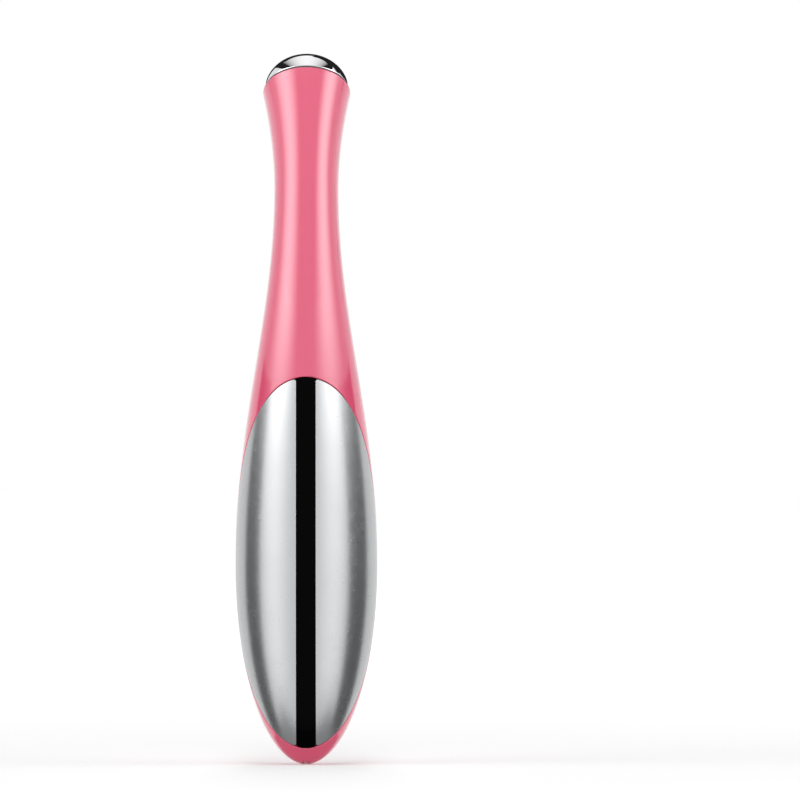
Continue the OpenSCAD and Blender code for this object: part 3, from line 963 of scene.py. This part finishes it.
@dataclass
class SealRing(Turned):
    """The grey seal between the rim and the dome."""

    overhang: float = 0.2
    edge_bow: float = 0.25
    width: float = 1.5

    def outline(self) -> np.ndarray:
        """A ring with a softly rounded outer edge.

        Returns:
            The profile as rows of radius and height.
        """
        r, high = self.skin.dome_radius + self.overhang, self.skin.seal_thickness
        inside, bow = r - self.width, self.edge_bow
        turn = np.linspace(-np.pi / 2, np.pi / 2, 11)
        belly = np.stack([r - bow + bow * np.cos(turn), high / 2 * (1 + np.sin(turn))], -1)
        return np.concatenate([[[inside, 0.0]], belly, [[inside, high]]])


# ---------------------------------------------------------------- finishes


def linear(hex_colour: str) -> tuple[float, float, float, float]:
    """An sRGB hex colour turned to linear.

    Args:
        hex_colour: The colour, such as "#E8596E".

    Returns:
        Linear red, green, blue and alpha.
    """
    parts = [int(hex_colour[i : i + 2], 16) / 255 for i in (1, 3, 5)]
    r, g, b = (c / 12.92 if c <= 0.04045 else ((c + 0.055) / 1.055) ** 2.4 for c in parts)
    return (r, g, b, 1.0)


def add_node(tree: bpy.types.NodeTree, kind: str, sockets: dict | None = None,
             **settings: object) -> bpy.types.Node:
    """Adds a shader node, sets it up and links it.

    Args:
        tree: The material's or world's node tree.
        kind: The node's type without its ShaderNode prefix.
        sockets: Input name or index to a value, or to an output socket to link from.
        settings: The node's own settings.

    Returns:
        The new node.
    """
    node = tree.nodes.new("ShaderNode" + kind)
    for key, value in settings.items():
        setattr(node, key, value)
    for key, value in (sockets or {}).items():
        if isinstance(value, bpy.types.NodeSocket):
            tree.links.new(value, node.inputs[key])
        else:
            node.inputs[key].default_value = value
    return node


def blank_material(name: str) -> bpy.types.Material:
    """A new node material with no nodes in it.

    Args:
        name: The material's name.

    Returns:
        The material.
    """
    mat = bpy.data.materials.new(name)
    mat.use_nodes = True
    mat.node_tree.nodes.clear()
    return mat


class Texture(Enum):
    """How a surface was made, which sets the pattern of its relief and gloss."""

    MOULDED = (1.0, 1.0, 1.0)
    DRAWN = (1.0, 1.0, 0.05)
    ROLLED = (0.08, 1.0, 1.0)


@dataclass(frozen=True)
class Finish:
    """One real finish: its colours, gloss and fine relief, with the pattern's pitch in mm."""

    name: str
    slot: str
    light: str
    dark: str
    roughness: tuple[float, float]
    metallic: float = 0.0
    ior: float = 1.5
    coat: float = 0.0
    coat_ior: float = 1.5
    coat_roughness: float = 0.03
    texture: Texture = Texture.MOULDED
    pitch: float = 0.6
    relief: float = 0.002
    mottle: float = 6.0

    def material(self) -> bpy.types.Material:
        """The finish as a node material, made once.

        Returns:
            The material.
        """
        if self.name in bpy.data.materials:
            return bpy.data.materials[self.name]
        mat = blank_material(self.name)
        tree = mat.node_tree
        place = add_node(tree, "TexCoord").outputs["Object"]
        run = add_node(tree, "Mapping", {"Vector": place, "Scale": self.texture.value})
        fine = add_node(tree, "TexNoise", {"Vector": run.outputs[0], "Scale": 1 / (self.pitch * MM),
                                           "Detail": 3.0, "Roughness": 0.55})
        broad = add_node(tree, "TexNoise", {"Vector": place, "Scale": 1 / (self.mottle * MM),
                                            "Detail": 2.0})
        tint = add_node(tree, "Mix", {0: broad.outputs[0], 6: linear(self.light),
                                      7: linear(self.dark)}, data_type="RGBA")
        low, high = self.roughness
        gloss = add_node(tree, "MapRange", {0: fine.outputs[0], 1: 0.25, 2: 0.75, 3: low, 4: high})
        bump = add_node(tree, "Bump", {"Strength": 1.0, "Distance": self.relief * MM,
                                       "Height": fine.outputs[0]})
        sockets = {"Base Color": tint.outputs[2], "Metallic": self.metallic,
                   "Roughness": gloss.outputs[0], "Normal": bump.outputs[0],
                   "Coat Weight": self.coat, "Coat IOR": self.coat_ior,
                   "Coat Roughness": self.coat_roughness}
        if self.metallic == 0:
            sockets["IOR"] = self.ior
        shader = add_node(tree, "BsdfPrincipled", sockets)
        add_node(tree, "OutputMaterial", {"Surface": shader.outputs[0]})
        return mat


# glossy pink ABS from a polished mould: an even colour under a wet-looking clear gloss
PINK_ABS = Finish("gloss_pink_abs", "pink_shell", "#DE486E", "#DB456B", (0.16, 0.2),
                  coat=1.0, coat_ior=1.7, coat_roughness=0.05, pitch=1.2, relief=0.0006)
# chrome plated ABS: a soft bright mirror that blurs what it reflects a little
PLATE_CHROME = Finish("satin_chrome_on_abs", "chromed_plate", "#BCBDBE", "#B7B8BA", (0.24, 0.28),
                      metallic=1.0, pitch=1.5, relief=0.0004)
# polished and chromed brass: a crisp mirror with a faint polishing haze
HEAD_CHROME = Finish("polished_head_chrome", "chromed_metal", "#E2E2E3", "#D8D8DA", (0.04, 0.07),
                     metallic=1.0, pitch=0.9, relief=0.0002)
# gloss black ABS strip: near black with a sharp clear gloss
BLACK_ABS = Finish("gloss_black_abs", "black_gloss", "#020202", "#010101", (0.1, 0.14),
                   ior=1.1, pitch=0.8, relief=0.0005)
# grey silicone rubber seal, matt and slightly dusty; its colour is darkened to a painted shade that
# stands for the shadow in the gap between the rim and the dome
SEAL_SILICONE_WITH_PAINTED_GAP_SHADE = Finish("grey_silicone_painted_gap_shade", "grey_seal", "#4A4A4D", "#434346", (0.45, 0.6),
                       ior=1.41, pitch=0.25, relief=0.004)
# unglazed alumina heater disc
HEATER_CERAMIC = Finish("alumina_heater", "heater_ceramic", "#E3D8C0", "#D3C5A8", (0.6, 0.75),
                        ior=1.7, pitch=0.2, relief=0.006)
# natural white ABS of the inner mouldings: satin, with the mould's fine grain
NATURAL_ABS = Finish("natural_white_abs", "white_plastic", "#E9E8E1", "#DEDDD4", (0.36, 0.46),
                     pitch=0.18, relief=0.004)
# nickel plated steel, bright along the way it was drawn or rolled
NICKEL_STEEL = Finish("nickel_plated_steel", "plated_steel", "#C9C6BF", "#B7B4AD", (0.2, 0.36),
                      metallic=1.0, texture=Texture.DRAWN, pitch=0.15, relief=0.002)
# sintered tungsten weight: dark grey with a fine pressed grain
SINTERED_TUNGSTEN = Finish("sintered_tungsten", "weight_metal", "#9A948B", "#857F77", (0.4, 0.55),
                           metallic=1.0, pitch=0.12, relief=0.006)
# black nitrile rubber boot: dull, soft-looking
BLACK_RUBBER = Finish("black_nitrile_rubber", "black_rubber", "#1C1C1D", "#141415", (0.55, 0.7),
                      ior=1.52, pitch=0.3, relief=0.006)
# dark blue heat-shrunk PVC sleeve of the cell: thin, glossy, slightly wavy
SHRINK_SLEEVE = Finish("blue_pvc_sleeve", "cell_sleeve", "#22375F", "#1B2D50", (0.22, 0.32),
                       coat=0.4, texture=Texture.DRAWN, pitch=2.5, relief=0.02)
# green solder mask over glass fibre laminate
SOLDER_MASK = Finish("green_solder_mask", "board_green", "#1F6B43", "#185636", (0.25, 0.4),
                     coat=0.5, texture=Texture.ROLLED, pitch=0.8, relief=0.012)
# dark ferrite of the coil's core
FERRITE = Finish("ferrite_core", "ferrite", "#3A3836", "#2A2927", (0.5, 0.65), pitch=0.2,
                 relief=0.008)
# yellow epoxy of the moulded capacitor
YELLOW_EPOXY = Finish("yellow_epoxy", "capacitor_yellow", "#D9A33A", "#C8922E", (0.35, 0.5),
                      pitch=0.25, relief=0.004)
# gold plated brass contact
GOLD_BRASS = Finish("gold_plated_brass", "gold_brass", "#E0BE7A", "#CDAA66", (0.18, 0.3),
                    metallic=1.0, texture=Texture.ROLLED, pitch=0.3, relief=0.002)
# silicone rubber insulation of the leads, in three colours
RED_LEAD = Finish("red_silicone_lead", "red_insulation", "#B3262B", "#9F1F25", (0.4, 0.5))
BLACK_LEAD = Finish("black_silicone_lead", "black_insulation", "#1B1B1C", "#121213", (0.4, 0.5))
WHITE_LEAD = Finish("white_silicone_lead", "white_insulation", "#DEDEDA", "#CFCFCA", (0.4, 0.5))

INNER_FINISHES: dict[str, Finish] = {
    "heater_disc": HEATER_CERAMIC,
    "thermistor": BLACK_ABS,
    "heater_clamp": NATURAL_ABS,
    "motor_can": NICKEL_STEEL,
    "motor_end_cap": NATURAL_ABS,
    "motor_shaft": NICKEL_STEEL,
    "eccentric_weight": SINTERED_TUNGSTEN,
    "motor_boot": BLACK_RUBBER,
    "battery_tray": NATURAL_ABS,
    "tray_screws": NICKEL_STEEL,
    "cell_can": NICKEL_STEEL,
    "cell_sleeve": SHRINK_SLEEVE,
    "battery_spring": NICKEL_STEEL,
    "negative_plate": NICKEL_STEEL,
    "positive_contact": NICKEL_STEEL,
    "circuit_board": SOLDER_MASK,
    "touch_controller": BLACK_ABS,
    "boost_inductor": FERRITE,
    "storage_capacitor": YELLOW_EPOXY,
    "driver_transistor": BLACK_ABS,
    "left_plate_contact": GOLD_BRASS,
    "right_plate_contact": GOLD_BRASS,
    "motor_lead_red": RED_LEAD,
    "motor_lead_black": BLACK_LEAD,
    "head_cable": WHITE_LEAD,
}


def dress_inner_nodes() -> None:
    """Gives each CAD node that keeps its own shape its real finish."""
    for node, finish in INNER_FINISHES.items():
        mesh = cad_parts[node].data
        mesh.materials.clear()
        mesh.materials.append(finish.material())
        log.info("%s: %s", node, finish.name)


# ---------------------------------------------------------------- studio


@dataclass(frozen=True)
class Card:
    """A studio card that the camera looks through.

    A lit card adds soft light to what is behind it; any other is only seen in gloss and hides it.
    Its light is brightest along the middle and fades to the sides by the power of fade, and it
    rises from the foot over the share of the height in rise. Level 1 is the white surround.
    """

    name: str
    level: float
    lit: bool = False
    fade: float = 0.0
    rise: float = 0.0

    def grid(self, u: np.ndarray, v: np.ndarray) -> np.ndarray:
        """Points of the card at shares u from side to side and v from its foot.

        Args:
            u: Shares from side to side.
            v: Shares from the foot to the top.

        Returns:
            The points in metres.
        """
        raise NotImplementedError

    def glow(self, tree: bpy.types.NodeTree) -> bpy.types.NodeSocket:
        """The card's light as a shader.

        Args:
            tree: The node tree to add it to.

        Returns:
            The shader's socket.
        """
        place = add_node(tree, "SeparateXYZ", {0: add_node(tree, "UVMap").outputs[0]})
        wave = add_node(tree, "Math", {0: place.outputs[0], 1: np.pi}, operation="MULTIPLY")
        crest = add_node(tree, "Math", {0: wave.outputs[0]}, operation="SINE")
        soft = add_node(tree, "Math", {0: crest.outputs[0], 1: self.fade}, operation="POWER")
        rise = add_node(tree, "MapRange", {0: place.outputs[1], 1: -1e-3, 2: self.rise},
                        interpolation_type="SMOOTHSTEP")
        both = add_node(tree, "Math", {0: soft.outputs[0], 1: rise.outputs[0]},
                        operation="MULTIPLY")
        power = add_node(tree, "Math", {0: both.outputs[0], 1: self.level}, operation="MULTIPLY")
        return add_node(tree, "Emission", {"Strength": power.outputs[0]}).outputs[0]

    def material(self) -> bpy.types.Material:
        """The card's face: clear to the camera, lit or hiding to the rest.

        Returns:
            The material.
        """
        mat = blank_material(self.name)
        mat.cycles.emission_sampling = "NONE"
        tree = mat.node_tree
        path = add_node(tree, "LightPath")
        clear = add_node(tree, "BsdfTransparent")
        if self.lit:
            face = add_node(tree, "AddShader", {0: self.glow(tree), 1: clear.outputs[0]})
        else:
            face = add_node(tree, "MixShader", {0: path.outputs["Is Glossy Ray"],
                                                1: clear.outputs[0], 2: self.glow(tree)})
        shown = add_node(tree, "MixShader", {0: path.outputs["Is Camera Ray"], 1: face.outputs[0],
                                             2: clear.outputs[0]})
        add_node(tree, "OutputMaterial", {"Surface": shown.outputs[0]})
        return mat

    def build(self) -> None:
        """Hangs the card up."""
        count = 7
        u, v = np.meshgrid(np.linspace(0, 1, count), np.linspace(0, 1, count))
        index = np.arange(count * count).reshape(count, count)
        quads = np.stack([index[:-1, :-1], index[:-1, 1:], index[1:, 1:], index[1:, :-1]], -1)
        quads = quads.reshape(-1, 4)
        mesh = bpy.data.meshes.new(self.name)
        mesh.from_pydata(self.grid(u, v).reshape(-1, 3).tolist(), [], quads.tolist())
        mesh.uv_layers.new(name="across")
        across = np.stack([u, v], -1).reshape(-1, 2)[quads.reshape(-1)]
        mesh.uv_layers[0].data.foreach_set("uv", across.reshape(-1))
        mesh.materials.append(self.material())
        placed(self.name, mesh)


@dataclass(frozen=True)
class Screen(Card):
    """An upright card curved round the wand, between bearings in degrees from the camera's side."""

    foot: tuple[float, float] = (0.0, 0.0)
    top: tuple[float, float] | None = None
    heights: tuple[float, float] = (0.0, 1.0)
    reach: float = 1.2

    def grid(self, u: np.ndarray, v: np.ndarray) -> np.ndarray:
        """Points on a part of a cylinder about the wand.

        Args:
            u: Shares of the bearings, which may differ at foot and top.
            v: Shares of the height.

        Returns:
            The points in metres.
        """
        (a, b), (c, d) = np.radians(self.foot), np.radians(self.top or self.foot)
        turn = (a + (b - a) * u) * (1 - v) + (c + (d - c) * u) * v
        low, high = self.heights
        return np.stack([self.reach * np.sin(turn), -self.reach * np.cos(turn),
                         low + (high - low) * v], -1)


@dataclass(frozen=True)
class Ceiling(Card):
    """A level card over or under the wand, from its height, sides, front and back."""

    z: float = 1.5
    sides: tuple[float, float] = (-1.0, 1.0)
    ends: tuple[float, float] = (-1.0, 1.0)

    def grid(self, u: np.ndarray, v: np.ndarray) -> np.ndarray:
        """Points at shares of the width and of the length.

        Args:
            u: Shares of the width.
            v: Shares of the length.

        Returns:
            The points in metres.
        """
        x = self.sides[0] + (self.sides[1] - self.sides[0]) * u
        y = self.ends[0] + (self.ends[1] - self.ends[0]) * v
        return np.stack([x, y, np.full_like(x, self.z)], -1)


# soft lights beside the camera: low ones for the plates, bright high ones for the neck, with dark
# cards behind the low ones and round the white card over the head
CARDS = (
    Screen("left_low_softbox", 0.55, True, 1.5, 0.3, (-20, -82), heights=(-0.7, 0.4)),
    Screen("right_low_softbox", 0.5, True, 1.5, 0.3, (12, 72), heights=(-0.7, 0.4)),
    Screen("left_high_softbox", 3.05, True, 1.5, 0.33, (-17, -97), (-29, -110), (0.12, 1.1)),
    Screen("right_high_softbox", 3.05, True, 1.5, 0.33, (9, 87), (57, 135), (0.12, 1.1)),
    Screen("left_dark_card", 0.12, foot=(-77, -113), heights=(-1.6, 0.26)),
    Screen("right_dark_card", 0.12, foot=(69, 113), heights=(-1.6, 0.26)),
    Screen("high_dark_card", 0.02, foot=(80, 152), heights=(1.1, 1.8)),
    Screen("right_back_dark_card", 0.02, foot=(130, 172), heights=(0.25, 1.75)),
    Screen("back_dark_card", 0.02, foot=(150, 210), heights=(0.28, 1.75), reach=1.6),
    Ceiling("overhead_dark_card", 0.02, z=1.81, sides=(-1.9, 3.0), ends=(-1.15, 6.0)),
    Ceiling("overhead_white_card", 1.3, fade=0.7, z=1.5, sides=(-1.0, 1.0), ends=(-0.9, 2.0)),
    Ceiling("low_dark_card", 0.35, z=-0.85, sides=(-1.3, 1.3), ends=(-0.95, 1.2)),
)


@dataclass(frozen=True)
class Softbox:
    """A rectangular studio light that looks at a point of the wand."""

    name: str
    place: tuple[float, float, float]
    size: tuple[float, float]
    watts: float
    target: tuple[float, float, float] = (0.0, 0.0, 0.075)

    def build(self) -> None:
        """Adds the light."""
        data = bpy.data.lights.new(self.name, "AREA")
        data.shape, data.energy = "RECTANGLE", self.watts
        data.size, data.size_y = self.size
        lamp = placed(self.name, data)
        lamp.location = self.place
        look = Vector(self.target) - Vector(self.place)
        lamp.rotation_euler = look.to_track_quat("-Z", "Y").to_euler()
        lamp.visible_glossy = False


# one long soft light overhead, from the camera's side to the back
TOP_SOFTBOX = Softbox("top_softbox", place=(0.0, 0.0, 1.0), size=(0.2, 2.4), watts=9.3)


@dataclass
class Studio:
    """Pale floor, white surround, soft lights, dark cards beside the wand and the camera.

    The camera shows field metres from its distance. The surround lights matt surfaces by its
    own share, and the floor glows from its first to its second share over glow_reach.
    """

    distance: float = 2.0
    field: float = 0.1693
    centre: tuple[float, float] = (0.0198, 0.0769)
    surround: float = 0.14
    floor_half: float = 6.0
    floor_gap: float = 0.0001
    floor_glow: tuple[float, float] = (0.3, 0.9)
    glow_reach: tuple[float, float] = (0.12, 1.6)
    sensor: float = 36.0

    def seen_white(self, tree: bpy.types.NodeTree) -> bpy.types.NodeSocket:
        """1 for rays from the camera and for mirrored or refracted ones, else 0.

        Args:
            tree: The node tree to add it to.

        Returns:
            The value's socket.
        """
        path = add_node(tree, "LightPath")
        both = add_node(tree, "Math", {0: path.outputs["Is Camera Ray"],
                                       1: path.outputs["Is Glossy Ray"]}, operation="MAXIMUM")
        return add_node(tree, "Math", {0: both.outputs[0], 1: path.outputs["Is Transmission Ray"]},
                        operation="MAXIMUM").outputs[0]

    def world(self) -> None:
        """A surround that shows white and lights the wand only a little."""
        world = bpy.data.worlds.new("white_surround")
        bpy.context.scene.world = world
        world.use_nodes = True
        tree = world.node_tree
        tree.nodes.clear()
        strength = add_node(tree, "MapRange", {0: self.seen_white(tree), 3: self.surround, 4: 1.0})
        back = add_node(tree, "Background", {"Color": (1, 1, 1, 1),
                                             "Strength": strength.outputs[0]})
        add_node(tree, "OutputWorld", {"Surface": back.outputs[0]})

    def floor(self) -> None:
        """A pale matt floor at the foot that fades into the surround but keeps the shadow."""
        mesh = bpy.data.meshes.new("pale_floor")
        r = self.floor_half
        mesh.from_pydata([(-r, -r, 0), (r, -r, 0), (r, r, 0), (-r, r, 0)], [], [(0, 1, 2, 3)])
        floor = placed("pale_floor", mesh)
        floor.location.z = -self.floor_gap
        mat = blank_material("pale_matt_floor")
        tree = mat.node_tree
        path = add_node(tree, "LightPath")
        place = add_node(tree, "TexCoord").outputs["Object"]
        away = add_node(tree, "VectorMath", {0: place}, operation="LENGTH").outputs["Value"]
        (near, far), (low, high) = self.glow_reach, self.floor_glow
        white = add_node(tree, "MapRange", {0: away, 1: near, 2: far, 3: low, 4: high})
        matt = add_node(tree, "BsdfDiffuse", {"Color": linear("#D9D9D9")})
        glow = add_node(tree, "Emission", {"Strength": white.outputs[0]})
        seen = add_node(tree, "AddShader", {0: matt.outputs[0], 1: glow.outputs[0]})
        clear = add_node(tree, "BsdfTransparent")
        mirrored = add_node(tree, "MixShader", {0: path.outputs["Is Glossy Ray"],
                                                1: seen.outputs[0], 2: clear.outputs[0]})
        add_node(tree, "OutputMaterial", {"Surface": mirrored.outputs[0]})
        mesh.materials.append(mat)

    def camera(self) -> None:
        """A long lens straight at the plates, framed as the photograph is."""
        data = bpy.data.cameras.new("front_camera")
        data.sensor_width = self.sensor
        data.lens = self.sensor * self.distance / self.field
        data.clip_start, data.clip_end = 0.05, 50.0
        camera = placed("front_camera", data)
        x, z = self.centre
        camera.location = (x, -self.distance, z)
        camera.rotation_euler = (np.pi / 2, 0.0, 0.0)
        bpy.context.scene.camera = camera

    def build(self) -> None:
        """Sets up the whole studio."""
        bpy.context.scene.view_settings.view_transform = "Standard"
        self.camera()
        self.world()
        self.floor()
        for card in CARDS:
            card.build()
        TOP_SOFTBOX.build()


def main() -> None:
    """Builds the studio and the wand's pieces in order, on the housing and cover bodies."""
    logging.basicConfig(level=logging.INFO, format="%(message)s")
    Studio().build()
    skin = WandSkin()
    ShellMoulding(skin, "main_housing", "housing", PINK_ABS).build()
    CoverMoulding(skin, "battery_cover", "cover", PINK_ABS).build()
    TouchPlate(skin, "right_grip_plate", "housing", PLATE_CHROME, side=1).build()
    TouchPlate(skin, "left_grip_plate", "housing", PLATE_CHROME, side=-1).build()
    InsulatingStrip(skin, "insulating_strip", "housing", BLACK_ABS).build()
    HeadDome(skin, "massage_head", "housing", HEAD_CHROME).build()
    # the seal wears a painted shade: its grey is darkened to stand for the shadow in the gap under
    # the dome
    SealRing(skin, "head_seal_ring", "housing", SEAL_SILICONE_WITH_PAINTED_GAP_SHADE).build()
    dress_inner_nodes()


if __name__ == "__main__":
    main()
